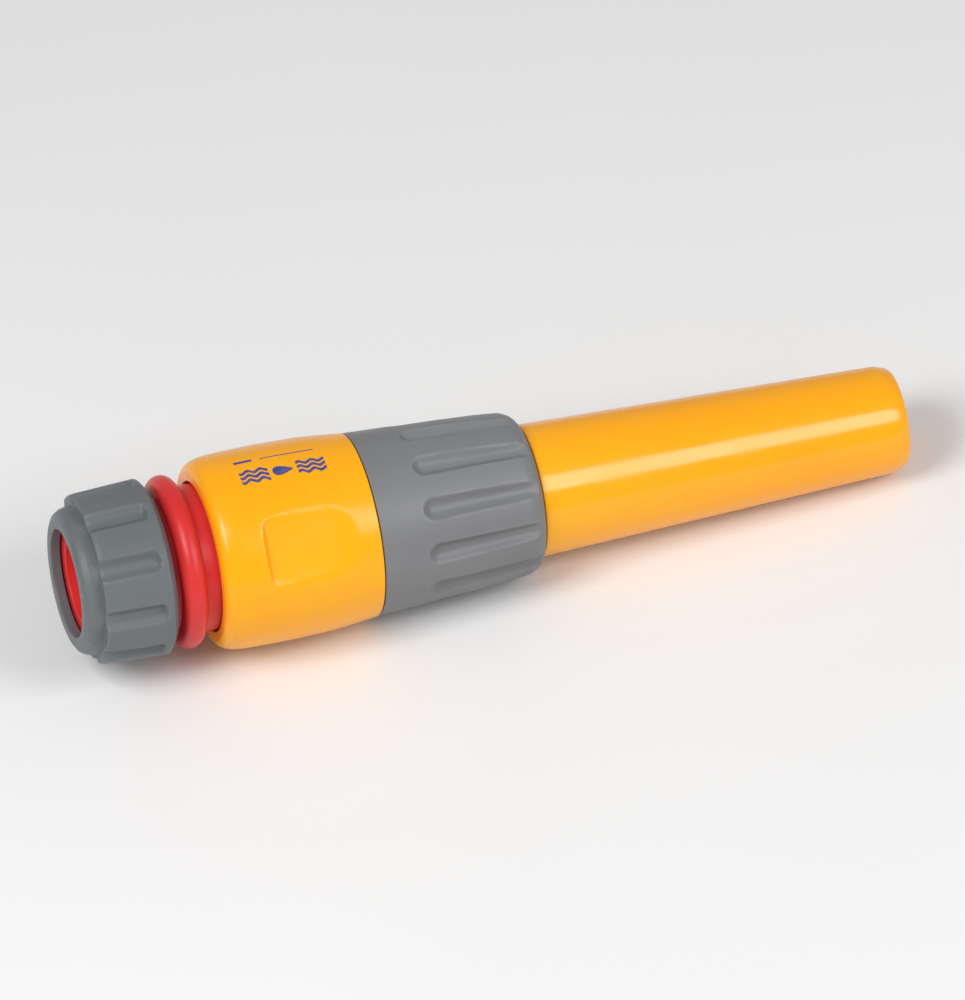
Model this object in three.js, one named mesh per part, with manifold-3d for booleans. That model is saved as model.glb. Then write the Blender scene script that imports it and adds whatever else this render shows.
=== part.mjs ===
// A garden hose spray nozzle on its quick connector, in millimetres.
//
// The water runs along +X: hose nut, connector with a water-stop valve, quick-release collar,
// plug, twist barrel and spray tip. Everything is turned about one axis, so each piece is drawn
// by its stations: x counts from the hose end of the nut, and r from the water axis.
// The finished group lies along +X with its lowest line on z = 0 and its length centred on x = 0.
// Angles about the axis start at -Y and turn towards +Z.
import * as THREE from "three";
import { mergeVertices } from "three/addons/utils/BufferGeometryUtils.js";
import Module from "manifold-3d";

const wasm = await Module();
wasm.setup();

// ---------------------------------------------------------------- driving dimensions
const LENGTH = 176.6;
const COLLAR_RADIUS = 20.2; // the widest place, which the nozzle lies on
const COLLAR_BORE = 15.6; // slides over the connector's neck
const GAP = 0.3; // between pieces that touch on the real object

const OUTER_SIDES = 28; // facets round the shells that show
const INNER_SIDES = 18; // facets round the pieces inside
const THREAD_STEPS = 14; // for each turn
const CUTTER_SIDES = 8;

const DISH_ANGLE = 36; // thumb dish and first latch jaw, degrees about the axis
const GRIP_FLUTES = 12;
const GRIP_FLUTE_ANGLE = 12.8;
const NUT_FLUTES = 10;
const NUT_FLUTE_ANGLE = 9;

const NUT_LENGTH = 19;
const NUT_MOUTH_RADIUS = 11.2;
const NUT_LEAD = 3.5; // advance of the hose nut for each turn
const BARREL_LEAD = 4; // advance of the spray barrel for each turn
const THREAD_START = 11; // where the connector's thread starts
const STEM_THREAD_START = 72.3;
const TAIL_RADIUS = 6.3; // inside a 12.5 mm hose
const BARB_RADIUS = 6.8;
const TAIL_BORE = 4.6;

const SOCKET_BORE = 7; // seals on the plug's ring
const PLUG_RADIUS = 6.6;
const RIDGE_RADIUS = 8.2; // the latch jaws hold the plug by this
const JAWS = 3;
const JAW_WIDTH = 6.8;

// ---------------------------------------------------------------- materials
const plastic = (color, roughness) => new THREE.MeshStandardMaterial({ color, roughness, metalness: 0 });
const ORANGE = plastic(0xfbaa2d, 0.3);
const GREY = plastic(0x73777a, 0.5);
const RED = plastic(0xe03c37, 0.35);
const WHITE = plastic(0xe9e7df, 0.4);
const RUBBER = plastic(0x1c1c1e, 0.8);
const STEEL = new THREE.MeshStandardMaterial({ color: 0xb9bcc0, roughness: 0.3, metalness: 1 });

// ---------------------------------------------------------------- solids
// A closed geometry as a solid that can be cut and joined.
function solid(geometry) {
  const bare = geometry.clone();
  bare.deleteAttribute("normal");
  bare.deleteAttribute("uv");
  const merged = mergeVertices(bare, 1e-4);
  const triVerts = new Uint32Array(merged.index.array);
  const vertProperties = new Float32Array(merged.attributes.position.array);
  const made = new wasm.Manifold(new wasm.Mesh({ numProp: 3, vertProperties, triVerts }));
  if (made.volume() > 0) return made;
  triVerts.reverse();
  return new wasm.Manifold(new wasm.Mesh({ numProp: 3, vertProperties, triVerts }));
}

function geometryOf(made) {
  const { vertProperties, triVerts, numProp } = made.getMesh();
  const geometry = new THREE.BufferGeometry();
  const position = new Float32Array((vertProperties.length / numProp) * 3);
  for (let i = 0; i < position.length / 3; i++) {
    position.set(vertProperties.subarray(i * numProp, i * numProp + 3), i * 3);
  }
  geometry.setAttribute("position", new THREE.BufferAttribute(position, 3));
  geometry.setIndex(new THREE.BufferAttribute(new Uint32Array(triVerts), 1));
  return geometry;
}

// A ring or solid of revolution about X, from its stations [x, r] in order round the section.
function turned(stations, sides = INNER_SIDES) {
  const profile = [...stations, stations[0]].map(([x, r]) => new THREE.Vector2(r, x));
  const geometry = new THREE.LatheGeometry(profile, sides);
  return solid(geometry.rotateZ(-Math.PI / 2));
}

// A tube between two radii, with square ends.
function tube(x0, x1, inner, outer, sides = INNER_SIDES) {
  return turned([[x0, inner], [x0, outer], [x1, outer], [x1, inner]], sides);
}

// A rod along X with square ends. Its section starts and ends on the axis.
function rod(x0, x1, radius, sides = INNER_SIDES) {
  const geometry = new THREE.CylinderGeometry(radius, radius, x1 - x0, sides);
  return solid(geometry.rotateZ(-Math.PI / 2).translate((x0 + x1) / 2, 0, 0));
}

// A box from its low and high corners.
function block([x0, y0, z0], [x1, y1, z1]) {
  const geometry = new THREE.BoxGeometry(x1 - x0, y1 - y0, z1 - z0);
  return solid(geometry.translate((x0 + x1) / 2, (y0 + y1) / 2, (z0 + z1) / 2));
}

// Turns a solid about X so that what faced -Y faces the given angle.
const aimed = (made, degrees) => made.rotate([-degrees, 0, 0]);

const joined = (first, ...rest) => rest.reduce((sum, next) => sum.add(next), first);

// Copies of a solid spaced evenly round the axis, joined.
function around(made, count, start = 0) {
  const copies = Array.from({ length: count }, (_, i) => aimed(made, start + (360 * i) / count));
  return joined(...copies);
}

// A seal or wire ring round the axis.
function oRing(x, radius, thickness) {
  const geometry = new THREE.TorusGeometry(radius, thickness / 2, 6, INNER_SIDES);
  return solid(geometry.rotateY(Math.PI / 2).translate(x, 0, 0));
}

// A right-hand screw ridge about X: a long bar wound round the axis, whose height runs out at both ends.
function ridge({ from, to, lead, root, crest, rootWidth, crestWidth, runOut = 0.12, phase = 0 }) {
  const turns = (to - from) / lead;
  const steps = Math.ceil(turns * THREAD_STEPS);
  const bar = new THREE.BoxGeometry(1, 1, 1, steps, 1, 1);
  const position = bar.attributes.position;
  for (let i = 0; i < position.count; i++) {
    const along = position.getX(i) + 0.5;
    const height = position.getY(i) + 0.5;
    const full = Math.min(1, along / runOut, (1 - along) / runOut);
    const radius = root + (crest - root) * height * (0.15 + 0.85 * full);
    const width = rootWidth + (crestWidth - rootWidth) * height;
    const angle = (along * turns + phase) * 2 * Math.PI;
    const x = from + (to - from) * along + position.getZ(i) * width;
    position.setXYZ(i, x, radius * Math.cos(angle), radius * Math.sin(angle));
  }
  return solid(bar);
}

// A helix about X for coil springs, with closed turns at its ends.
class Coil extends THREE.Curve {
  constructor(x0, x1, radius, turns) {
    super();
    Object.assign(this, { x0, x1, radius, turns });
  }

  getPoint(t, target = new THREE.Vector3()) {
    const eased = t - 0.06 * Math.sin(4 * Math.PI * t);
    const angle = 2 * Math.PI * this.turns * t;
    const x = this.x0 + (this.x1 - this.x0) * eased;
    return target.set(x, this.radius * Math.cos(angle), this.radius * Math.sin(angle));
  }
}

function spring({ from, to, radius, wire, turns }) {
  const half = wire / 2;
  const section = new THREE.Shape();
  const corners = 5;
  for (let i = 0; i < corners; i++) {
    const angle = (2 * Math.PI * i) / corners;
    const corner = [half * Math.cos(angle), half * Math.sin(angle)];
    if (i === 0) section.moveTo(...corner);
    else section.lineTo(...corner);
  }
  section.closePath();
  const path = new Coil(from + half, to - half, radius, turns);
  const steps = Math.round(turns * 12);
  return solid(new THREE.ExtrudeGeometry(section, { steps, extrudePath: path }));
}

// ---------------------------------------------------------------- hose end
// The ribbed nut: a narrow lip round the mouth, then a fluted band and a chamfer.
function hoseNut() {
  const bore = 14.05;
  const shell = turned(
    [
      [0, NUT_MOUTH_RADIUS], [0, 13.2], [0.6, 14.4], [1.8, 15.1], [3.8, 15.4], [3.85, 17],
      [4.5, 17.5], [17.8, 18.2], [NUT_LENGTH, 16.5], [NUT_LENGTH, bore], [4.4, bore],
      [4.4, 12.85], [2.2, 12.85], [2.2, NUT_MOUTH_RADIUS],
    ],
    OUTER_SIDES,
  );
  const fluteRound = 2.6;
  const fluteLength = 16;
  const fluteEnd = 16.2; // short of the front, which stays a full ring
  const fluteFloor = 16.92;
  const taper = 0.051;
  const cutter = new THREE.CylinderGeometry(fluteRound, fluteRound, fluteLength, CUTTER_SIDES)
    .rotateZ(-Math.PI / 2 - taper)
    .translate(fluteEnd - fluteLength / 2, -(fluteFloor + fluteRound), 0);
  const thread = ridge({
    from: THREAD_START - NUT_LEAD / 2, to: 20.3, lead: NUT_LEAD,
    root: 13.6, crest: 15.55, rootWidth: 2.6, crestWidth: 1.6, runOut: 0.001, phase: -0.5,
  });
  return shell.subtract(around(solid(cutter), NUT_FLUTES, NUT_FLUTE_ANGLE)).subtract(thread);
}

// The gripping collet: a flange behind slit, tapering fingers with claws inside.
function hoseCollet() {
  const ring = turned([
    [2.5, 8.9], [2.5, 12.5], [4.6, 12.5], [5, 12.3], [7.6, 12.2], [14, 10.45], [14, 8.9],
    [13, 8.3], [12.6, 8.9], [11.2, 8.9], [10.8, 8.3], [10.4, 8.9], [9, 8.9], [8.6, 8.3], [8.2, 8.9],
  ]);
  const slit = block([6, -14, -0.8], [15, -7, 0.8]);
  return ring.subtract(around(slit, 6, 15));
}

// The barbed tail that the hose is pushed over. Its flange closes the valve chamber.
function hoseTail() {
  const barbs = [7.6, 10.8, 14].flatMap((x) => [
    [x - 2.2, TAIL_RADIUS], [x, BARB_RADIUS], [x + 0.2, TAIL_RADIUS],
  ]);
  return turned([
    [5.3, TAIL_BORE], [5.3, 5.9], ...barbs, [19, TAIL_RADIUS], [19, 8.75],
    [20.5, 8.75], [20.5, 7.1], [22.6, 7.1], [22.6, 8.75], [23.7, 8.75], [23.7, TAIL_BORE],
  ]);
}

// ---------------------------------------------------------------- connector
// The stations of the red ring that separates the nut from the collar, as a half-round rim.
function rimStations(x, radius, half) {
  const points = 6;
  return Array.from({ length: points }, (_, i) => {
    const angle = (Math.PI * (i + 0.5)) / points;
    return [x - half * Math.cos(angle), radius - half + half * Math.sin(angle)];
  });
}

function connectorBody() {
  const neck = 15.1;
  const threadRoot = 13.6; // also the floor of the groove between the nut and the rim
  const barrel = 11.2;
  const shell = turned(
    [
      [7.5, 12.75], [7.5, 13.1], [8, threadRoot], [20.6, threadRoot],
      ...rimStations(23, 17.9, 2.4), [25.4, neck], [31, neck], [31, barrel], [45.75, barrel],
      [45.75, 10.15], [47.25, 10.15], [47.25, barrel], [60.2, barrel], [60.8, 10.6], [60.8, 9.4],
      [60.2, 8.9], [51, 8.9], [49, SOCKET_BORE], [39, SOCKET_BORE], [39, 5.4], [38, 5.4],
      [36.5, 7.8], [24, 7.8], [24, 9.05], [15, 9.05], [15, 10.7],
    ],
    24,
  );
  const thread = ridge({
    from: THREAD_START, to: 17.4, lead: NUT_LEAD, root: 13.3, crest: 15, rootWidth: 1.9, crestWidth: 0.9,
  });
  const half = JAW_WIDTH / 2 + GAP;
  const window = block([47.8, -14, -half], [59.4, -4, half]);
  return shell.add(thread).subtract(around(window, JAWS, DISH_ANGLE));
}

// A spring circlip in the body's groove, which keeps the collar on.
function collarStopRing() {
  const gap = block([45, -14, -2.2], [48, -8, 2.2]);
  return tube(45.95, 47.05, 10.35, 12.6).subtract(aimed(gap, DISH_ANGLE + 180));
}

// One latch jaw, drawn facing -Y: heel, arm, ramped head and the tooth behind the plug's ridge.
function latchJaw(index) {
  const ring = turned([
    [48.1, 9.3], [48.1, 11], [53.7, 11], [56.8, 12], [57.3, 12], [57.6, 11.2], [59.1, 11],
    [59.1, 9], [58, 7.5], [55.8, 7.5], [55.8, 9.3],
  ]);
  const half = JAW_WIDTH / 2;
  const slice = block([47, -14, -half], [60, -4, half]);
  return aimed(ring.intersect(slice), DISH_ANGLE + (360 * index) / JAWS);
}

// The sliding collar: a barrel-shaped shell, the spring's web, and the cam that closes the jaws.
function releaseCollar() {
  const shell = turned(
    [
      [28.5, COLLAR_BORE], [28.5, 17.4], [28.8, 18.2], [29.5, 19], [30.6, 19.6], [32, 19.95], [36, 20.15],
      [40, COLLAR_RADIUS], [45, COLLAR_RADIUS], [52.7, 19.95], [57.8, 19.45], [61.5, 19], [61.8, 18.7],
      [61.8, 17.3], [55, 17.3], [55, 15.4], [61.8, 15.4], [61.8, 14.4], [60.2, 14], [57.2, 12.25],
      [51, 12.25], [50.6, 13.4], [45.6, 13.4], [45.6, 11.5], [43, 11.5], [43, COLLAR_BORE],
    ],
    OUTER_SIDES,
  );
  return shell.subtract(around(thumbDish(), 2, DISH_ANGLE));
}

// The tool that sinks a thumb dish: a flat floor, square behind and round in front.
function thumbDish() {
  const back = 38.3;
  const front = 54.8;
  const half = 6.9;
  const frontCorner = 4;
  const outline = new THREE.Shape();
  outline.moveTo(back, -half + 1.5);
  outline.quadraticCurveTo(back, -half, back + 1.5, -half);
  outline.lineTo(front - frontCorner, -half);
  outline.absarc(front - frontCorner, frontCorner - half, frontCorner, -Math.PI / 2, 0, false);
  outline.absarc(front - frontCorner, half - frontCorner, frontCorner, 0, Math.PI / 2, false);
  outline.lineTo(back + 1.5, half);
  outline.quadraticCurveTo(back, half, back, half - 1.5);
  outline.closePath();
  const floor = 18.65;
  const geometry = new THREE.ExtrudeGeometry(outline, { depth: 4, bevelEnabled: false, curveSegments: 4 });
  return solid(geometry.rotateX(Math.PI / 2).translate(0, -floor, 0));
}

function collarSpring() {
  return spring({ from: 31.2, to: 42.8, radius: 13.4, wire: 1.1, turns: 4.5 });
}

// ---------------------------------------------------------------- water-stop valve
// Four fins in a cross, as long as asked.
function fins(x0, x1, radius, thickness = 1.2) {
  const blade = block([x0, -radius, -thickness / 2], [x1, radius, thickness / 2]);
  return joined(blade, aimed(blade, 90)).intersect(rod(x0 - 1, x1 + 1, radius));
}

function valvePlunger() {
  const head = turned([
    [30, 0.01], [30, 6.5], [32.2, 6.5], [32.2, 4.1], [34, 4.1], [34, 4.7], [34.8, 4.7], [34.8, 0.01],
  ]);
  const core = rod(29, 35, 2);
  return joined(head, core, fins(17.5, 30.5, 4.3), fins(34.4, 41.2, 4.6));
}

// ---------------------------------------------------------------- spray nozzle
// The fixed stem: the plug, the latch groove, the screw for the barrel, and the long water tube.
function nozzleStem() {
  const bore = 3.9;
  const shell = turned([
    [41.5, bore], [41.5, 5.8], [42.3, PLUG_RADIUS], [43.6, PLUG_RADIUS], [43.6, 4.9], [46.4, 4.9],
    [46.4, PLUG_RADIUS], [49.6, PLUG_RADIUS], [51.6, RIDGE_RADIUS], [55.5, RIDGE_RADIUS], [55.5, 7.1],
    [59.6, 7.1], [60.6, RIDGE_RADIUS], [71, RIDGE_RADIUS], [71, 9], [81.2, 9], [83, 7.2],
    [98, 7.2], [99, 6.2], [157.2, 6.2], [158, 5.4], [158, 2.6], [151, 2.6], [149.6, bore],
  ]);
  const thread = ridge({
    from: STEM_THREAD_START, to: 78.3, lead: BARREL_LEAD,
    root: 8.7, crest: 10.15, rootWidth: 2.1, crestWidth: 1,
  });
  const port = block([136, -8, -1.8], [147, -3, 1.8]);
  return shell.add(thread).subtract(around(port, 4, 45));
}

// The needle in the end of the stem. Its shoulder carries the shut-off ring.
function pintle() {
  return turned([
    [151.4, 0.01], [151.4, 1.9], [152, 2.35], [158.3, 2.35], [158.3, 4.9], [160.2, 4.9], [161, 3.4],
    [162.4, 3.4], [162.8, 5.3], [164.3, 5.3], [164.3, 3.7], [166.2, 3.7], [166.2, 4.6], [167.9, 2.5],
    [170.9, 2], [171.6, 1.2], [171.6, 0.01],
  ]);
}

// The twist barrel: screwed on the stem behind, a seat and an outlet in front.
function sprayBarrel() {
  const shell = turned(
    [
      [65, 9.9], [65, 12.8], [65.4, 13.2], [97.9, 13.2], [97.9, 13.7], [173.4, 11.05], [175, 10.7],
      [176, 9.9], [LENGTH, 8.7], [LENGTH, 7.6], [171.4, 6.6], [171.4, 3], [168.6, 3], [164, 7.6],
      [163.2, 8.7], [100.4, 10.6], [98.4, 8.7], [91.8, 8.7], [91.8, 9.95], [88.9, 9.95], [88.9, 8.7],
      [85, 8.7], [84, 9.45], [65.5, 9.45],
    ],
    OUTER_SIDES,
  );
  const thread = ridge({
    from: STEM_THREAD_START - 2 * BARREL_LEAD, to: 80.3, lead: BARREL_LEAD,
    root: 9, crest: 10.65, rootWidth: 2.8, crestWidth: 1.7, runOut: 0.001,
  });
  return shell.subtract(thread);
}

// The grip: a tapering sleeve fixed over the barrel's back end, fluted towards the front.
function gripRing() {
  const shell = turned(
    [
      [62.2, 9], [62.2, 18.5], [62.6, 18.9], [70.4, 18.5], [80.6, 18], [89.4, 17.4], [94.4, 16.8],
      [96.3, 16], [97.2, 15], [97.6, 14.1], [97.6, 13.5], [64.4, 13.5], [64.4, 9],
    ],
    OUTER_SIDES,
  );
  return shell.subtract(around(gripFlute(), GRIP_FLUTES, GRIP_FLUTE_ANGLE));
}

// The tool that cuts one flute: a round bar with a domed back end, leaning in towards the front.
function gripFlute() {
  const radius = 2.3;
  const length = 36;
  const back = 74.2;
  const floor = 17;
  const lean = 0.06;
  const geometry = new THREE.CapsuleGeometry(radius, length, 2, CUTTER_SIDES)
    .rotateZ(-Math.PI / 2)
    .translate(length / 2, 0, 0)
    .rotateZ(lean)
    .translate(back, -(floor + radius), 0);
  return solid(geometry);
}

// ---------------------------------------------------------------- assembly
const nozzle = new THREE.Group();
nozzle.position.set(-LENGTH / 2, 0, COLLAR_RADIUS);

function piece(name, made, material) {
  const mesh = new THREE.Mesh(geometryOf(made), material);
  mesh.name = name;
  nozzle.add(mesh);
}

piece("hose_nut", hoseNut(), GREY);
piece("hose_collet", hoseCollet(), RED);
piece("hose_tail", hoseTail(), RED);
piece("tail_o_ring", oRing(21.55, 8, 1.6), RUBBER);

piece("connector_body", connectorBody(), RED);
piece("release_collar", releaseCollar(), ORANGE);
piece("collar_spring", collarSpring(), STEEL);
piece("collar_stop_ring", collarStopRing(), STEEL);
for (let i = 0; i < JAWS; i++) {
  piece(`latch_jaw_${i + 1}`, latchJaw(i), WHITE);
}

piece("valve_plunger", valvePlunger(), WHITE);
piece("valve_o_ring", oRing(33.1, 5.1, 1.7), RUBBER);
piece("valve_spring", spring({ from: 23.9, to: 29.8, radius: 5.6, wire: 0.8, turns: 4.5 }), STEEL);

piece("nozzle_stem", nozzleStem(), GREY);
piece("plug_o_ring", oRing(45, 5.9, 1.8), RUBBER);
piece("pintle", pintle(), WHITE);
piece("pintle_o_ring", oRing(165.25, 4.65, 1.7), RUBBER);
piece("spray_barrel", sprayBarrel(), ORANGE);
piece("barrel_o_ring", oRing(90.35, 8.6, 2.3), RUBBER);
piece("grip_ring", gripRing(), GREY);

export default nozzle;
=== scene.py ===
"""Looks for a twist spray nozzle plugged into its quick hose connector.

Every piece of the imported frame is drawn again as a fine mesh. Most pieces are turned about the
water axis, so a piece is given by its stations: (x, r) or (x, r, fillet) in millimetres, with x
counted along the axis from the hose end of the nut and r from the axis. Angles about the axis are
in degrees, from -Y towards +Z.
"""

import math

import bmesh
import bpy
from mathutils import Matrix, Vector
from mathutils.bvhtree import BVHTree


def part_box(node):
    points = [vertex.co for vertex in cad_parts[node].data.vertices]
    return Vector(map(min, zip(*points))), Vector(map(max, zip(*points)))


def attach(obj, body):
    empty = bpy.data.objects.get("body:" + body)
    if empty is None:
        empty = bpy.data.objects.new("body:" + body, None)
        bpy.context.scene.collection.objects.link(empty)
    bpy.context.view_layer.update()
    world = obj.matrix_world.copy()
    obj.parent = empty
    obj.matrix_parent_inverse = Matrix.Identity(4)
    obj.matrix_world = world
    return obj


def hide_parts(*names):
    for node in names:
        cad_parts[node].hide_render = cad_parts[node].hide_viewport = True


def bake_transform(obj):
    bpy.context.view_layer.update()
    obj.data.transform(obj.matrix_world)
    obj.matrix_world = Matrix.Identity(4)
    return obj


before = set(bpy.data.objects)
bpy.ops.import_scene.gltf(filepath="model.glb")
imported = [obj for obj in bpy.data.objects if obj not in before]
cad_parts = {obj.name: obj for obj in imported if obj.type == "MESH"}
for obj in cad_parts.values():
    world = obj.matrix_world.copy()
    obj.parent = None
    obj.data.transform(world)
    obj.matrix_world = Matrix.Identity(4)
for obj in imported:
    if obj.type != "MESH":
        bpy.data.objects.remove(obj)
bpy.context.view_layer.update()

# ---------------------------------------------------------------- the frame's own places
MM = 0.001
HOSE_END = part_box("hose_nut")[0].x
COLLAR_LOW, COLLAR_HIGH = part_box("release_collar")
AXIS_Z = (COLLAR_LOW.z + COLLAR_HIGH.z) / 2
LENGTH = (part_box("spray_barrel")[1].x - HOSE_END) / MM
COLLAR_RADIUS = (COLLAR_HIGH.y - COLLAR_LOW.y) / 2 / MM


def back_of(node):
    """Where a node starts along the axis, in mm from the hose end."""
    return (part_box(node)[0].x - HOSE_END) / MM


def front_of(node):
    return (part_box(node)[1].x - HOSE_END) / MM


# ---------------------------------------------------------------- shape settings
FINE = 360  # columns round the shells that show
MEDIUM = 144
ROW = 0.45  # longest step along a profile with relief, mm

DISH_ANGLE = 36
GRIP_FLUTE_ANGLE = 12.8
NUT_FLUTE_ANGLE = 9
GRIP_FLUTES = 12
NUT_FLUTES = 10
PARTING_ANGLE = 138
NUT_LEAD = 3.5
BARREL_LEAD = 4
STEM_THREAD = 72.3  # where the stem's screw starts
JAWS = 3
JAW_WIDTH = 6.8
SHARP_ANGLE = 38  # corners above this stay sharp, degrees

COIL_SIDES = 14
COIL_STEPS = 40  # in one turn
END_CLOSING = 0.05  # how much closer a spring's end turns lie; much more and they would touch

# ---------------------------------------------------------------- profiles
def softplus(value, softness):
    """value where it is well above zero, and a smooth run down to zero below."""
    return softness * math.log1p(math.exp(min(value / softness, 40)))


def smoothstep(t):
    t = min(max(t, 0), 1)
    return t * t * (3 - 2 * t)


def wrapped(angle, pitch):
    """angle brought to within half a pitch of zero."""
    return (angle + pitch / 2) % pitch - pitch / 2


def filleted(stations, closed):
    """The stations as a fine outline, with an arc at each corner that has a fillet."""
    count = len(stations)
    outline = []
    for i, station in enumerate(stations):
        here = Vector(station[:2])
        radius = station[2] if len(station) > 2 else 0
        if not closed and i in (0, count - 1):
            radius = 0
        if not radius:
            outline.append(here)
            continue
        before = Vector(stations[i - 1][:2]) - here
        after = Vector(stations[(i + 1) % count][:2]) - here
        reach = min(before.length, after.length) * 0.49
        before.normalize()
        after.normalize()
        half = math.acos(max(-1, min(1, before.dot(after)))) / 2
        cut = min(radius / math.tan(half), reach)
        radius = cut * math.tan(half)
        centre = here + (before + after).normalized() * (radius / math.sin(half))
        start = here + before * cut - centre
        end = here + after * cut - centre
        sweep = start.angle_signed(end)
        steps = max(2, math.ceil(abs(sweep) / math.radians(18)))
        for k in range(steps + 1):
            turn = Matrix.Rotation(-sweep * k / steps, 2)
            outline.append(centre + turn @ start)
    return outline


def stepped(outline, closed, longest):
    """The outline with no step longer than asked."""
    fine = []
    pairs = zip(outline, outline[1:] + outline[:1])
    for i, (a, b) in enumerate(pairs):
        fine.append(a)
        if not closed and i == len(outline) - 1:
            break
        parts = max(1, math.ceil((b - a).length / longest))
        fine.extend(a.lerp(b, k / parts) for k in range(1, parts))
    return fine


# ---------------------------------------------------------------- meshes
def point(x, r, degrees):
    a = math.radians(degrees)
    return Vector((HOSE_END + x * MM, -r * math.cos(a) * MM, AXIS_Z + r * math.sin(a) * MM))


def new_object(name, bm):
    bmesh.ops.recalc_face_normals(bm, faces=bm.faces)
    mesh = bpy.data.meshes.new(name)
    bm.to_mesh(mesh)
    bm.free()
    mesh.shade_smooth()
    mesh.set_sharp_from_angle(angle=math.radians(SHARP_ANGLE))
    obj = bpy.data.objects.new(name, mesh)
    bpy.context.collection.objects.link(obj)
    return obj


def turned(name, stations, columns=MEDIUM, longest=4.0, relief=None, on_axis=False):
    """A solid of revolution. relief(x, r, degrees) gives the radius at each point of its surface.

    A profile that is on_axis starts and ends on it; any other closes on itself.
    """
    closed = not on_axis
    outline = stepped(filleted(stations, closed), closed, longest)
    bm = bmesh.new()
    rings = []
    for x, r in outline:
        if r < 0.02:
            rings.append([bm.verts.new(point(x, 0, 0))])
            continue
        ring = []
        for k in range(columns):
            degrees = 360 * k / columns
            radius = relief(x, r, degrees) if relief else r
            ring.append(bm.verts.new(point(x, radius, degrees)))
        rings.append(ring)
    pairs = list(zip(rings, rings[1:]))
    if closed:
        pairs.append((rings[-1], rings[0]))
    for a, b in pairs:
        for k in range(columns):
            corners = [a[k % len(a)], b[k % len(b)], b[(k + 1) % len(b)], a[(k + 1) % len(a)]]
            unique = list(dict.fromkeys(corners))
            if len(unique) > 2:
                bm.faces.new(unique)
    return new_object(name, bm)


def helix_height(x, degrees, start, end, lead, width, crest, phase=0.0):
    """How far up a screw ridge a point is, from 0 on the root to 1 on the crest."""
    turn = (180 - degrees) / 360 + phase
    middle = start + lead * (round((x - start) / lead - turn) + turn)
    if not start <= middle <= end:
        return 0
    fade = min(1, (middle - start) / (0.35 * lead), (end - middle) / (0.35 * lead))
    slope = (width / 2 - abs(x - middle)) / ((width - crest) / 2)
    return smoothstep(slope) * smoothstep(fade)


def block(name, x_range, r_range, half, degrees):
    """A block that faces outwards at an angle, for cutting."""
    bm = bmesh.new()
    bmesh.ops.create_cube(bm, size=1)
    middle = sum(x_range) / 2
    depth = sum(r_range) / 2
    size = (x_range[1] - x_range[0], r_range[1] - r_range[0], 2 * half)
    for v in bm.verts:
        v.co = Vector([c * s for c, s in zip(v.co, size)]) + Vector((middle, -depth, 0))
    about_axis = Matrix.Rotation(-math.radians(degrees), 4, "X")
    for v in bm.verts:
        v.co = about_axis @ v.co
        v.co = Vector((HOSE_END, 0, AXIS_Z)) + v.co * MM
    return new_object(name, bm)


def boolean(obj, tool, operation="DIFFERENCE"):
    """Cuts a piece with a tool, which is then deleted."""
    modifier = obj.modifiers.new("cut", "BOOLEAN")
    modifier.operation = operation
    modifier.solver = "EXACT"
    modifier.object = tool
    graph = bpy.context.evaluated_depsgraph_get()
    cut = bpy.data.meshes.new_from_object(obj.evaluated_get(graph))
    obj.modifiers.clear()
    old = obj.data
    obj.data = cut
    bpy.data.meshes.remove(old)
    bpy.data.meshes.remove(tool.data)
    obj.data.shade_smooth()
    obj.data.set_sharp_from_angle(angle=math.radians(SHARP_ANGLE))


def coil(name, x0, x1, radius, wire, turns):
    """A compression spring whose turns are closest at its ends."""
    steps = round(turns * COIL_STEPS)
    bm = bmesh.new()
    rings = []
    half = wire / 2
    length = x1 - x0 - wire
    for i in range(steps + 1):
        t = i / steps
        eased = t - END_CLOSING * math.sin(2 * math.pi * t)
        x = x0 + half + length * eased
        degrees = 180 - 360 * turns * t
        ring = []
        for k in range(COIL_SIDES):
            a = 2 * math.pi * k / COIL_SIDES
            place = point(x + half * math.sin(a), radius + half * math.cos(a), degrees)
            ring.append(bm.verts.new(place))
        rings.append(ring)
    for a, b in zip(rings, rings[1:]):
        for k in range(COIL_SIDES):
            n = (k + 1) % COIL_SIDES
            bm.faces.new((a[k], b[k], b[n], a[n]))
    for end in (rings[0], rings[-1]):
        bm.faces.new(end)
    return new_object(name, bm)


def o_ring(name, x, radius, thickness, columns=96, sides=20):
    half = thickness / 2
    outline = []
    for k in range(sides):
        a = 2 * math.pi * k / sides
        outline.append((x + half * math.cos(a), radius + half * math.sin(a)))
    return turned(name, outline, columns)


# ---------------------------------------------------------------- materials
def srgb(r, g, b):
    """An sRGB colour from 0 to 255 as the linear colour the shader takes."""
    linear = []
    for c in (r, g, b):
        c /= 255
        linear.append(c / 12.92 if c <= 0.04045 else ((c + 0.055) / 1.055) ** 2.4)
    return (*linear, 1)


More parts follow.
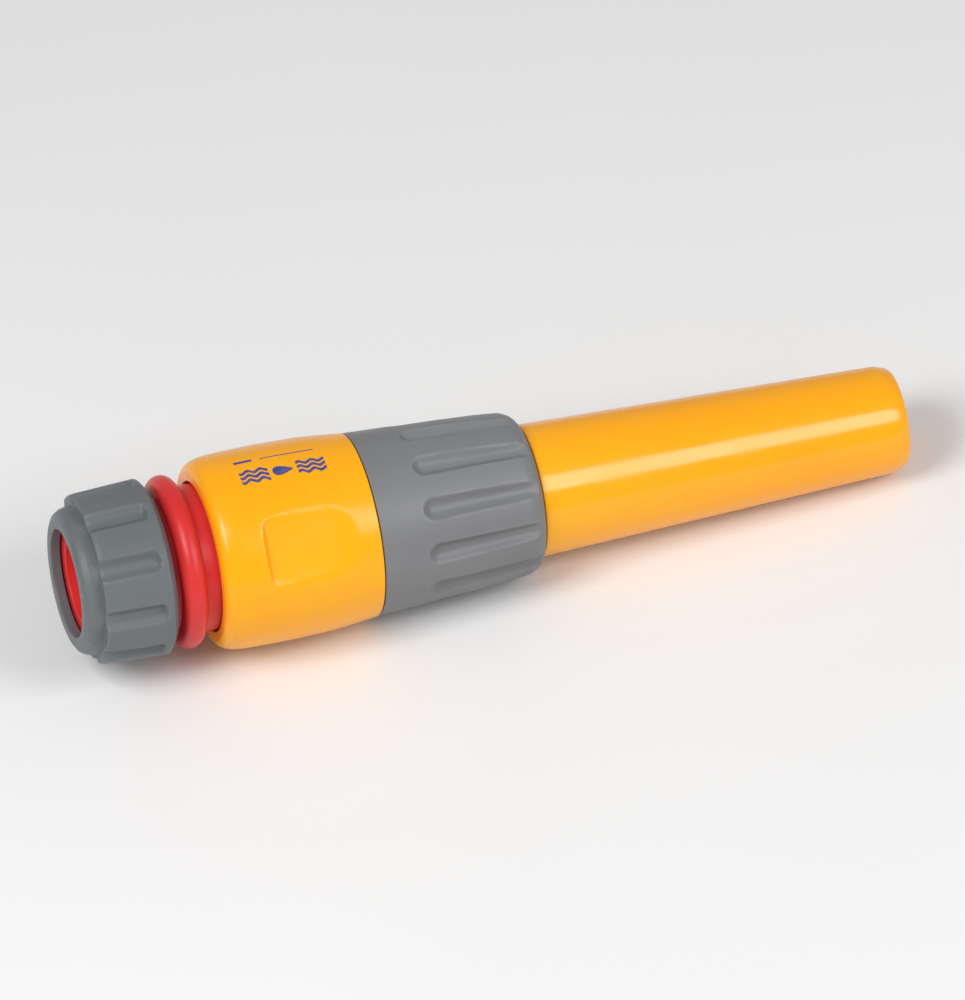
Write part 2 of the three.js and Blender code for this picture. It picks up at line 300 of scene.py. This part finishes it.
class Nodes:
    """Shorthand for building one material's nodes."""

    def __init__(self, name):
        self.material = bpy.data.materials.new(name)
        self.material.use_nodes = True
        self.tree = self.material.node_tree
        self.shader = self.tree.nodes["Principled BSDF"]
        self.place = self.tree.nodes.new("ShaderNodeTexCoord").outputs["Object"]

    def add(self, kind, inputs=None, **settings):
        node = self.tree.nodes.new(kind)
        for key, value in settings.items():
            setattr(node, key, value)
        for key, value in (inputs or {}).items():
            self.put(node.inputs[key], value)
        return node

    def put(self, socket, value):
        if isinstance(value, bpy.types.NodeSocket):
            self.tree.links.new(value, socket)
        else:
            socket.default_value = value

    def noise(self, scale, detail=3.0, roughness=0.5, stretch=None):
        place = self.place
        if stretch:
            place = self.add("ShaderNodeMapping", {"Vector": place, "Scale": stretch}).outputs[0]
        inputs = {"Vector": place, "Scale": scale, "Detail": detail, "Roughness": roughness}
        return self.add("ShaderNodeTexNoise", inputs).outputs["Fac"]

    def ranged(self, value, low, high, new_low, new_high):
        node = self.add("ShaderNodeMapRange", {0: value, 1: low, 2: high, 3: new_low, 4: new_high})
        return node.outputs[0]

    def mixed(self, factor, a, b, mode="MIX"):
        node = self.add("ShaderNodeMix", data_type="RGBA", blend_type=mode)
        self.put(node.inputs[0], factor)
        self.put(node.inputs[6], a)
        self.put(node.inputs[7], b)
        return node.outputs[2]

    def maths(self, operation, a, b=0.0):
        node = self.add("ShaderNodeMath", operation=operation)
        self.put(node.inputs[0], a)
        self.put(node.inputs[1], b)
        return node.outputs[0]


def plastic(name, colour, shade, roughness, grain=0.04, wear_and_highlight_colour=None, ior=1.42):
    """Moulded plastic: slight flow mottling, a fine grain, dull handling marks, and convex edges painted
    lighter, partly as wear and partly as a painted highlight.
    """
    n = Nodes(name)
    flow = n.noise(38, 4, 0.55, stretch=(0.35, 1, 1))
    specks = n.noise(900, 2, 0.6)
    base = n.mixed(n.ranged(flow, 0.35, 0.65, 0, 1), colour, shade)
    base = n.mixed(n.ranged(specks, 0.62, 0.78, 0, 0.12), base, shade)
    # convex edges are painted a lighter colour, broken up by noise: part wear, part painted highlight
    if wear_and_highlight_colour:
        edge_pointiness = n.add("ShaderNodeNewGeometry").outputs["Pointiness"]
        amount = n.ranged(edge_pointiness, 0.515, 0.57, 0, 0.4)
        wear_and_highlight_mask = n.maths("MULTIPLY", amount, n.ranged(n.noise(160, 4), 0.4, 0.62, 0.3, 1))
        base = n.mixed(wear_and_highlight_mask, base, wear_and_highlight_colour)
    n.put(n.shader.inputs["Base Color"], base)

    handling = n.noise(65, 5, 0.6)
    scratches = n.noise(240, 2, 0.5, stretch=(0.08, 1, 1))
    dull = n.maths("ADD", n.ranged(handling, 0.35, 0.7, -0.05, 0.07), n.ranged(scratches, 0.6, 0.75, 0, 0.06))
    n.put(n.shader.inputs["Roughness"], n.maths("ADD", dull, roughness))

    height = n.maths("ADD", n.noise(2600, 2, 0.5), n.maths("MULTIPLY", scratches, 0.6))
    bump = n.add("ShaderNodeBump", {"Strength": grain, "Distance": 0.0002, "Height": height})
    n.put(n.shader.inputs["Normal"], bump.outputs[0])
    n.shader.inputs["IOR"].default_value = ior
    return n.material


def rubber(name):
    """Greased black rubber."""
    n = Nodes(name)
    patch = n.noise(220, 4, 0.6)
    n.put(n.shader.inputs["Base Color"], n.mixed(patch, srgb(22, 22, 23), srgb(44, 43, 42)))
    n.put(n.shader.inputs["Roughness"], n.ranged(patch, 0.3, 0.7, 0.32, 0.6))
    bump = n.add("ShaderNodeBump", {"Strength": 0.15, "Distance": 0.0002, "Height": n.noise(1800, 3)})
    n.put(n.shader.inputs["Normal"], bump.outputs[0])
    return n.material


def spring_wire(name):
    """Bright drawn wire with faint length-wise marks."""
    n = Nodes(name)
    marks = n.noise(700, 3, 0.6)
    n.put(n.shader.inputs["Base Color"], n.mixed(marks, srgb(176, 178, 181), srgb(208, 209, 211)))
    n.shader.inputs["Metallic"].default_value = 1.0
    n.put(n.shader.inputs["Roughness"], n.ranged(marks, 0.3, 0.7, 0.18, 0.36))
    return n.material


def print_ink(name):
    """Pad-printed ink, a little thin and broken at its edges."""
    n = Nodes(name)
    thin = n.noise(500, 4, 0.7)
    colour = n.mixed(n.ranged(thin, 0.42, 0.7, 0, 0.55), srgb(62, 66, 140), srgb(120, 112, 130))
    n.put(n.shader.inputs["Base Color"], colour)
    n.shader.inputs["Roughness"].default_value = 0.42
    return n.material


def pale_floor(name):
    n = Nodes(name)
    tone = n.noise(9, 3)
    n.put(n.shader.inputs["Base Color"], n.mixed(tone, srgb(234, 234, 234), srgb(238, 238, 238)))
    n.shader.inputs["Roughness"].default_value = 0.85
    n.shader.inputs["Specular IOR Level"].default_value = 0.2
    return n.material


ORANGE = srgb(255, 175, 6)
ORANGE_SHADE = srgb(253, 167, 2)
YELLOW_ORANGE = srgb(255, 176, 8)
YELLOW_ORANGE_SHADE = srgb(254, 169, 4)
# lighter colours for convex edges: part wear, part painted highlight
ORANGE_WEAR_AND_HIGHLIGHT = srgb(255, 198, 84)
NUT_GREY, NUT_GREY_SHADE, NUT_GREY_WEAR_AND_HIGHLIGHT = srgb(107, 112, 115), srgb(99, 104, 107), srgb(146, 150, 152)
GRIP_GREY, GRIP_GREY_SHADE, GRIP_GREY_WEAR_AND_HIGHLIGHT = srgb(124, 125, 127), srgb(115, 116, 118), srgb(162, 163, 164)
MATERIALS = {
    "nut_grey": plastic("nut_grey", NUT_GREY, NUT_GREY_SHADE, 0.44, 0.10, wear_and_highlight_colour=NUT_GREY_WEAR_AND_HIGHLIGHT),
    "grip_grey": plastic("grip_grey", GRIP_GREY, GRIP_GREY_SHADE, 0.42, 0.10, wear_and_highlight_colour=GRIP_GREY_WEAR_AND_HIGHLIGHT),
    "red": plastic("red", srgb(222, 52, 50), srgb(208, 42, 42), 0.34, 0.04, wear_and_highlight_colour=srgb(242, 104, 92)),
    "collar_orange": plastic(
        "collar_orange", YELLOW_ORANGE, YELLOW_ORANGE_SHADE, 0.25, 0.04, wear_and_highlight_colour=ORANGE_WEAR_AND_HIGHLIGHT,
    ),
    "barrel_orange": plastic("barrel_orange", ORANGE, ORANGE_SHADE, 0.18, 0.02, wear_and_highlight_colour=ORANGE_WEAR_AND_HIGHLIGHT, ior=1.53),
    "acetal": plastic("acetal", srgb(232, 230, 221), srgb(222, 219, 208), 0.3, 0.03),
    "rubber": rubber("rubber"),
    "wire": spring_wire("wire"),
    "ink": print_ink("ink"),
}


def settle(obj, node, body, material, slot):
    """Puts a finished piece in place of its CAD node, if it has one.

    The body is a name. For a spring it is (fixed body, moving body, x start, x end), the two bodies that
    squeeze it and the stretch of the axis that gives way; these values are not used, and the spring is only
    fixed in place.
    """
    obj.data.materials.clear()
    obj.data.materials.append(MATERIALS[material])
    if node:
        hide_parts(node)
    if isinstance(body, str):
        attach(obj, body)
    else:
        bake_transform(obj)


# ---------------------------------------------------------------- hose end
def flute_depth(x, across, start, end, width, depth, end_reach, steepness):
    """How deep a flute is at a point of a shell, with arched ends.

    across is the distance round the shell from the flute's middle, and end_reach how far each arch reaches.
    A steepness of 1 makes a round hollow, and more makes steeper walls with a flat floor between them.
    """
    beyond = max(start - x, x - end, 0)
    share = math.hypot(across / (width / 2), beyond / end_reach)
    walls = softplus(steepness * depth * (1 - share * share), 0.05)
    return depth - softplus(depth - walls, 0.04)


def parting_line(degrees):
    """The faint raised line that the two halves of a mould leave on both sides of a shell."""
    away = wrapped(degrees - PARTING_ANGLE, 180)
    return 0.045 * math.exp(-((away / 0.8) ** 2))


def hose_nut():
    front = front_of("hose_nut")
    rim = 17.8  # where the fluted band ends and the chamfer starts
    lip = 15.35  # radius of the plain rear lip

    def relief(x, r, degrees):
        if r > lip and 3 < x < rim + 0.1:
            across = r * math.radians(wrapped(degrees - NUT_FLUTE_ANGLE, 360 / NUT_FLUTES))
            depth = flute_depth(x, across, 0, rim - 2.4, 4.6, 1.35, 1.0, 1.1)
            return r - depth * min(1, (r - lip) / 1.7) + parting_line(degrees)
        if r < 14.2 and x > 4.6:
            h = helix_height(x, degrees, 11 - NUT_LEAD / 2, 20.3, NUT_LEAD, 2.6, 1.6, phase=0.5)
            return r + 1.45 * h
        return r

    bore = 14.05
    return turned("nut_shell", [
        (0, 11.2, 0.35), (0, 13.3, 0.4), (0.6, 14.4, 0.6), (1.8, 15.1, 1.0), (3.8, lip, 0.15),
        (3.8, 17.3, 0.6), (5, 17.6, 1.0), (rim, 18.2, 0.45), (front, 16.5, 0.45), (front, bore, 0.3),
        (4.4, bore), (4.4, 12.85), (2.2, 12.85), (2.2, 11.2, 0.3),
    ], FINE, ROW, relief)


def hose_collet():
    piece = turned("collet_claws", [
        (2.5, 8.9, 0.2), (2.5, 12.5, 0.3), (4.6, 12.5, 0.3), (5, 12.3), (7.6, 12.2, 0.5), (14, 10.45, 0.2),
        (14, 8.9, 0.15), (13, 8.3, 0.1), (12.6, 8.9), (11.2, 8.9), (10.8, 8.3, 0.1), (10.4, 8.9), (9, 8.9),
        (8.6, 8.3, 0.1), (8.2, 8.9),
    ])
    for i in range(6):
        boolean(piece, block("slit", (6, 15), (7, 14), 0.8, 15 + 60 * i))
    return piece


def hose_tail():
    body = [(5.3, 4.6, 0.3), (5.3, 6.0, 0.4)]
    for x in (7.6, 10.8, 14):
        if x > 7.6:  # the first barb rises from the tail's own end
            body.append((x - 2.2, 6.3))
        body += [(x, 6.8, 0.1), (x + 0.2, 6.3)]
    body += [
        (19, 6.3), (19, 8.75, 0.2), (20.5, 8.75, 0.15), (20.5, 7.1, 0.1), (22.6, 7.1, 0.1),
        (22.6, 8.75, 0.15), (23.7, 8.75, 0.2), (23.7, 4.6, 0.2),
    ]
    return turned("barbed_tail", body)


# ---------------------------------------------------------------- connector
def connector_body():
    thread_root, neck, barrel = 13.6, 15.1, 11.2
    rim_x, rim_r, rim_half = 23, 17.9, 2.4
    rim = []
    for i in range(13):
        a = math.pi * (i + 0.5) / 13
        rim.append((rim_x - rim_half * math.cos(a), rim_r - rim_half + rim_half * math.sin(a)))

    def relief(x, r, degrees):
        if 9.5 < x < 19.2 and 13.5 < r < 13.7:
            return r + 1.4 * helix_height(x, degrees, 11, 17.4, NUT_LEAD, 1.9, 0.9)
        return r

    piece = turned("connector_shell", [
        (7.5, 12.75, 0.1), (7.5, 13.1, 0.1), (8, thread_root, 0.3), (20.6, thread_root, 0.3), *rim,
        (25.5, neck, 0.4), (31, neck, 0.4), (31, barrel, 0.3), (45.75, barrel, 0.1), (45.75, 10.15),
        (47.25, 10.15), (47.25, barrel, 0.1), (60.2, barrel, 0.3), (60.8, 10.6, 0.3), (60.8, 9.4, 0.3),
        (60.2, 8.9, 0.3), (51, 8.9, 0.5), (49, 7, 0.5), (39, 7, 0.2), (39, 5.4, 0.2), (38, 5.4, 0.2),
        (36.5, 7.8, 0.2), (24, 7.8, 0.1), (24, 9.05), (15, 9.05, 0.1), (15, 10.7, 0.1),
    ], 180, 1.0, relief)
    for i in range(JAWS):
        boolean(piece, block("window", (47.8, 59.4), (4, 14), JAW_WIDTH / 2 + 0.3, DISH_ANGLE + 120 * i))
    return piece


def collar_stop_ring():
    piece = turned("stop_clip", [
        (45.95, 10.35, 0.2), (45.95, 12.6, 0.2), (47.05, 12.6, 0.2), (47.05, 10.35, 0.2),
    ])
    boolean(piece, block("gap", (45, 48), (8, 14), 2.2, DISH_ANGLE + 180))
    return piece


def latch_jaw(index):
    piece = turned(f"jaw_{index + 1}", [
        (48.1, 9.3), (48.1, 11), (53.7, 11, 0.8), (56.8, 12, 0.2), (57.3, 12, 0.15), (57.6, 11.2, 0.3),
        (59.1, 11, 0.2), (59.1, 9, 0.3), (58, 7.5, 0.3), (55.8, 7.5, 0.2), (55.8, 9.3, 0.3),
    ], 360)
    boolean(piece, block("slice", (47, 60), (4, 14), JAW_WIDTH / 2, DISH_ANGLE + 120 * index), "INTERSECT")
    return piece


def release_collar():
    back, front = back_of("release_collar"), front_of("release_collar")
    widest, bore = COLLAR_RADIUS, 15.6
    lip = front + 0.15  # nearly closes the seam to the grip
    dish_back, dish_front, half, floor = 38.3, 54.8, 6.9, 18.65

    def dish(x, degrees):
        """Signed distance outside the dish's outline and the angle from its middle, for one side."""
        angle = math.radians(wrapped(degrees - DISH_ANGLE, 180))
        across = abs(widest * math.sin(angle))
        middle = (dish_back + dish_front) / 2
        corner = 1.6 if x < middle else 4.0
        dx = abs(x - middle) - ((dish_front - dish_back) / 2 - corner)
        dy = across - (half - corner)
        outside = math.hypot(max(dx, 0), max(dy, 0)) + min(max(dx, dy), 0) - corner
        return outside, angle

    def relief(x, r, degrees):
        if r < 18.3 or not 31 < x < 61:
            return r
        outside, angle = dish(x, degrees)
        if outside > 4.5:
            return r + parting_line(degrees)
        squareness = smoothstep((44 - x) / 5)  # the hind wall is steep, the others slope
        steep = 0.5 + 1.2 * squareness
        bottom = floor / math.cos(angle) + softplus(outside * steep + 0.2, 0.3 - 0.15 * squareness)
        return r - softplus(r - bottom, 0.38 - 0.29 * squareness)

    return turned("collar_shell", [
        (back, bore, 0.2), (back, 17.6, 0.4), (29, 18.6, 1.5), (30, 19.35, 2.5), (32.2, 19.95, 6.0),
        (36, 20.12, 9.0), (40, widest, 4.0), (45, widest, 6.0), (52.7, 19.95, 6.0), (57.8, 19.45, 4.0),
        (lip - 0.15, 19, 0.15), (lip, 18.85, 0.1), (lip, 17.3, 0.15), (55, 17.3, 0.2), (55, 15.4, 0.2),
        (front, 15.4, 0.15), (front, 14.4, 0.15), (60.2, 14, 0.5), (57.2, 12.25, 0.5), (51, 12.25, 0.2),
        (50.6, 13.4, 0.1), (45.6, 13.4, 0.1), (45.6, 11.5, 0.1), (43, 11.5, 0.1), (43, bore, 0.3),
    ], FINE, 0.35, relief)


# ---------------------------------------------------------------- water-stop valve
def fin(x0, x1, radius, quarter, thickness=1.2):
    """One flat blade across the axis, with a cut corner at each end, turned by quarter turns."""
    bm = bmesh.new()
    nose = 0.8
    outline = [(x0, -radius + nose), (x0 + nose, -radius), (x1 - nose, -radius), (x1, -radius + nose)]
    outline += [(x, -y) for x, y in reversed(outline)]
    sides = []
    for side in (-1, 1):
        ring = [bm.verts.new((x, y, side * thickness / 2)) for x, y in outline]
        sides.append(ring)
        bm.faces.new(ring)
    for k in range(len(outline)):
        n = (k + 1) % len(outline)
        bm.faces.new((sides[0][k], sides[0][n], sides[1][n], sides[1][k]))
    turn = Matrix.Rotation(math.radians(90 * quarter), 4, "X")
    for v in bm.verts:
        v.co = Vector((HOSE_END, 0, AXIS_Z)) + (turn @ v.co) * MM
    return new_object("fin", bm)


def valve_plunger():
    piece = turned("plunger", [
        (29, 0), (29, 2, 0.2), (30, 2, 0.3), (30, 6.5, 0.3), (32.2, 6.5, 0.15), (32.2, 4.1, 0.1),
        (34, 4.1, 0.1), (34, 4.7, 0.1), (34.8, 4.7, 0.2), (34.8, 2, 0.3), (36, 2, 0.5), (36, 0),
    ], 96, on_axis=True)
    for x0, x1, radius in ((17.5, 30.5, 4.3), (34.4, 41.2, 4.6)):
        for quarter in (0, 1):
            boolean(piece, fin(x0, x1, radius, quarter), "UNION")
    return piece


# ---------------------------------------------------------------- spray nozzle
def nozzle_stem():
    bore, plug, ridge = 3.9, 6.6, 8.2

    def relief(x, r, degrees):
        if 71 < x < 80.5 and 8.9 < r < 9.1:
            return r + 1.15 * helix_height(x, degrees, STEM_THREAD, 78.3, BARREL_LEAD, 2.1, 1.0)
        return r

    piece = turned("stem_tube", [
        (41.5, bore, 0.3), (41.5, 5.8, 0.4), (42.3, plug, 0.4), (43.6, plug, 0.15), (43.6, 4.9, 0.1),
        (46.4, 4.9, 0.1), (46.4, plug, 0.15), (49.6, plug, 1.0), (51.6, ridge, 0.8), (55.5, ridge, 0.25),
        (55.5, 7.1, 0.2), (59.6, 7.1, 0.3), (60.6, ridge, 0.4), (71, ridge, 0.2), (71, 9, 0.2),
        (81.2, 9, 0.3), (83, 7.2, 0.5), (98, 7.2, 0.4), (99, 6.2, 0.4), (157.2, 6.2, 0.4),
        (158, 5.4, 0.3), (158, 2.6, 0.2), (151, 2.6, 0.3), (149.6, bore, 0.4),
    ], 160, 0.8, relief)
    for i in range(4):
        boolean(piece, block("port", (136, 147), (3, 8), 1.8, 45 + 90 * i))
    return piece


def pintle():
    return turned("pintle_needle", [
        (151.4, 0), (151.4, 1.9, 0.3), (152, 2.35, 0.3), (158.3, 2.35, 0.15), (158.3, 4.9, 0.2),
        (160.2, 4.9, 0.3), (161, 3.4, 0.3), (162.4, 3.4, 0.3), (162.8, 5.3, 0.3), (164.3, 5.3, 0.15),
        (164.3, 3.7, 0.1), (166.2, 3.7, 0.1), (166.2, 4.6, 0.2), (167.9, 2.5, 0.5), (170.9, 2, 0.4),
        (171.6, 1.2, 0.3), (171.6, 0),
    ], 96, 1.0, on_axis=True)


def spray_barrel():
    front = front_of("spray_barrel")
    back = back_of("spray_barrel")

    thread_start = STEM_THREAD - 2 * BARREL_LEAD

    def relief(x, r, degrees):
        if x < 84.1 and 9.3 < r < 9.6:
            return r + 1.2 * helix_height(x, degrees, thread_start, 80.3, BARREL_LEAD, 2.8, 1.7)
        if r > 11 and 98.5 < x < 173:
            return r + parting_line(degrees)
        return r

    return turned("barrel_tube", [
        (back, 9.9, 0.2), (back, 12.8, 0.2), (back + 0.4, 13.2, 0.2), (97.9, 13.2), (97.9, 13.7, 0.15),
        (173.4, 11.05, 2.8), (front, 10.0, 2.0), (front, 7.6, 0.5), (171.4, 6.6, 0.4), (171.4, 3, 0.25),
        (168.6, 3, 0.3), (164, 7.6, 0.5), (163.2, 8.7, 0.5), (100.4, 10.6, 0.5), (98.4, 8.7, 0.4),
        (91.8, 8.7, 0.15), (91.8, 9.95, 0.1), (88.9, 9.95, 0.1), (88.9, 8.7, 0.15), (85, 8.7, 0.3),
        (84, 9.45, 0.3), (back + 0.5, 9.45, 0.2),
    ], 240, 0.9, relief)


def grip_ring():
    back, front = back_of("grip_ring"), front_of("grip_ring")
    start, end = 74.2, 99.0

    def relief(x, r, degrees):
        if r < 13.7 or x < 69:
            return r
        along = min(max((x - start) / (end - start), 0), 1)
        width = 4.9 - 1.5 * along
        depth = softplus(r - (16.7 - 0.05 * (x - start)), 0.12)
        across = r * math.radians(wrapped(degrees - GRIP_FLUTE_ANGLE, 360 / GRIP_FLUTES))
        return r - flute_depth(x, across, start, end, width, depth, width / 2, 1.05) + parting_line(degrees)

    return turned("grip_sleeve", [
        (back, 9, 0.2), (back, 18.75, 0.1), (back + 0.15, 18.9, 0.15), (70.4, 18.5, 4.0), (80.6, 18, 6.0),
        (89.4, 17.4, 4.0), (94.6, 16.85, 2.4), (96.4, 15.95, 1.2), (97.3, 14.9, 0.8), (front, 14.1, 0.2),
        (front, 13.5, 0.15), (64.4, 13.5, 0.3), (64.4, 9, 0.2),
    ], FINE, ROW, relief)


# ---------------------------------------------------------------- printed mark on the collar
MARK_ANGLE = 86
RULE_ANGLE = 100


def mark_ribbons():
    """A generic mark, as ribbons.

    Each is (x start, x end, a function from x to the ribbon's two edges in degrees).
    """
    middle = 45.6

    def drop(x):
        along = (x - middle + 2.2) / 4.4
        half = 9 * math.sqrt(max(along * (1 - along), 0)) * (1.15 - along * 0.9)
        return MARK_ANGLE - half, MARK_ANGLE + half

    def wave(row):
        def edges(x):
            line = MARK_ANGLE + row + 1.0 * math.sin(2 * math.pi * x / 2.7)
            return line - 1.15, line + 1.15
        return edges

    ribbons = [(middle - 2.15, middle + 2.15, drop)]
    for row in (-3.7, 0, 3.7):
        ribbons.append((36.6, 42.6, wave(row)))
        ribbons.append((48.6, 54.6, wave(row)))
    ribbons.append((36.6, 40.4, lambda x: (RULE_ANGLE - 1.1, RULE_ANGLE + 1.1)))
    ribbons.append((42.2, 53.4, lambda x: (RULE_ANGLE - 0.4, RULE_ANGLE + 0.4)))
    return ribbons


def collar_print(collar):
    """The mark as thin ink slabs that follow the collar's own surface."""
    corners = [v.co for v in collar.data.vertices]
    tree = BVHTree.FromPolygons(corners, [p.vertices for p in collar.data.polygons])
    thickness, sunk, rows = 0.04, 0.04, 5
    bm = bmesh.new()

    def surface(x, degrees):
        start = point(x, COLLAR_RADIUS + 5, degrees)
        inward = (point(x, 0, 0) - start).normalized()
        return tree.ray_cast(start, inward)[0], -inward

    for x0, x1, edges in mark_ribbons():
        columns = math.ceil((x1 - x0) / 0.16)
        layers = ([], [])
        for i in range(columns + 1):
            x = x0 + (x1 - x0) * i / columns
            low, high = edges(x)
            for k in range(rows + 1):
                place, out = surface(x, low + (high - low) * k / rows)
                layers[0].append(bm.verts.new(place + out * thickness * MM))
                layers[1].append(bm.verts.new(place - out * sunk * MM))
        n = rows + 1
        for top in layers:
            for i in range(columns):
                for k in range(rows):
                    a = i * n + k
                    bm.faces.new((top[a], top[a + n], top[a + n + 1], top[a + 1]))
        rim = [i * n for i in range(columns)] + [columns * n + k for k in range(rows)]
        rim += [(columns - i) * n + rows for i in range(columns)] + [rows - k for k in range(rows)]
        for a, b in zip(rim, rim[1:] + rim[:1]):
            bm.faces.new((layers[0][a], layers[0][b], layers[1][b], layers[1][a]))
    return new_object("collar_mark", bm)


# ---------------------------------------------------------------- put together
COLLAR = release_collar()
PIECES = [
    (hose_nut(), "hose_nut", "nut", "nut_grey", "grey_plastic"),
    (hose_collet(), "hose_collet", "collet", "red", "red_plastic"),
    (hose_tail(), "hose_tail", "connector", "red", "red_plastic"),
    (o_ring("tail_seal", 21.55, 8, 1.6), "tail_o_ring", "connector", "rubber", "black_rubber"),
    (connector_body(), "connector_body", "connector", "red", "red_plastic"),
    (collar_stop_ring(), "collar_stop_ring", "connector", "wire", "spring_steel"),
    (
        coil("collar_coil", 31.2, 42.8, 13.4, 1.1, 4.5),
        "collar_spring", ("connector", "collar", 32.3, 41.7), "wire", "spring_steel",
    ),
    (
        coil("valve_coil", 23.9, 29.8, 5.6, 0.8, 4.5),
        "valve_spring", ("connector", "valve", 24.7, 29), "wire", "spring_steel",
    ),
    (COLLAR, "release_collar", "collar", "collar_orange", "orange_plastic"),
    (collar_print(COLLAR), None, "collar", "ink", "blue_print"),
    (valve_plunger(), "valve_plunger", "valve", "acetal", "white_acetal"),
    (o_ring("valve_seal", 33.1, 5.1, 1.7), "valve_o_ring", "valve", "rubber", "black_rubber"),
    (o_ring("plug_seal_ring", 45, 5.9, 1.8), "plug_o_ring", "plug_seal", "rubber", "black_rubber"),
    (nozzle_stem(), "nozzle_stem", "stem", "grip_grey", "grip_grey_plastic"),
    (pintle(), "pintle", "stem", "acetal", "white_acetal"),
    (o_ring("pintle_seal", 165.25, 4.65, 1.7), "pintle_o_ring", "stem", "rubber", "black_rubber"),
    (o_ring("barrel_seal_ring", 90.35, 8.6, 2.3), "barrel_o_ring", "barrel_seal", "rubber", "black_rubber"),
    (spray_barrel(), "spray_barrel", "barrel", "barrel_orange", "glossy_orange_plastic"),
    (grip_ring(), "grip_ring", "barrel", "grip_grey", "grip_grey_plastic"),
]
for i in range(JAWS):
    PIECES.append((latch_jaw(i), f"latch_jaw_{i + 1}", f"jaw_{i + 1}", "acetal", "white_acetal"))
for piece in PIECES:
    settle(*piece)

# ---------------------------------------------------------------- floor, light and camera
def lean_of_floor():
    """The floor touches the collar and the barrel's tip, so it leans a little in the row frame."""
    collar_x, collar_r = 52.7, 19.95
    tip_x, tip_r = 174.2, 11.02
    touch = Vector((HOSE_END + collar_x * MM, 0, AXIS_Z - collar_r * MM))
    tip = Vector((HOSE_END + tip_x * MM, 0, AXIS_Z - tip_r * MM))
    return touch, math.atan2(tip.z - touch.z, tip.x - touch.x)


def add_floor():
    touch, lean = lean_of_floor()
    bm = bmesh.new()
    bmesh.ops.create_grid(bm, x_segments=1, y_segments=1, size=3)
    turn = Matrix.Rotation(-lean, 4, "Y")
    for v in bm.verts:
        v.co = touch + turn @ v.co
    floor = new_object("floor", bm)
    floor.data.materials.append(pale_floor("pale_floor"))


def direction(azimuth, elevation):
    a, e = math.radians(azimuth), math.radians(elevation)
    return Vector((math.sin(a) * math.cos(e), -math.cos(a) * math.cos(e), math.sin(e)))


def add_light(name, azimuth, elevation, distance, size, power, target, along_x=False):
    data = bpy.data.lights.new(name, "AREA")
    data.shape = "RECTANGLE"
    data.size, data.size_y = size
    data.energy = power
    lamp = bpy.data.objects.new(name, data)
    bpy.context.collection.objects.link(lamp)
    back = direction(azimuth, elevation)
    lamp.location = target + back * distance
    lamp.rotation_mode = "QUATERNION"
    if along_x:
        back.x = 0
    lamp.rotation_quaternion = back.to_track_quat("Z", "Y")


def add_world(strength):
    world = bpy.data.worlds.new("studio")
    world.use_nodes = True
    background = world.node_tree.nodes["Background"]
    background.inputs["Color"].default_value = (1, 1, 1, 1)
    background.inputs["Strength"].default_value = strength
    bpy.context.scene.world = world


def add_camera(azimuth, elevation, width, target):
    """A long lens, so that the view is nearly parallel. width is what the frame spans at the object."""
    data = bpy.data.cameras.new("camera")
    data.lens = 1500
    camera = bpy.data.objects.new("camera", data)
    bpy.context.collection.objects.link(camera)
    back = direction(azimuth, elevation)
    aspect = 965 / 1000
    distance = width / aspect / (data.sensor_width / data.lens)
    camera.location = target + back * distance
    camera.rotation_mode = "QUATERNION"
    camera.rotation_quaternion = back.to_track_quat("Z", "Y")
    data.clip_end = 20
    bpy.context.scene.camera = camera


middle = Vector((0, 0, AXIS_Z))
add_floor()
bpy.context.scene.view_settings.view_transform = "Standard"
add_world(0.34)
add_light(
    "streak", azimuth=47, elevation=36.9, distance=1.11, size=(0.9, 0.42), power=6.2, target=middle,
    along_x=True,
)
add_light("key", azimuth=-65, elevation=46, distance=0.9, size=(0.4, 0.4), power=4.9, target=middle)
add_camera(azimuth=-17, elevation=41, width=0.196, target=middle)
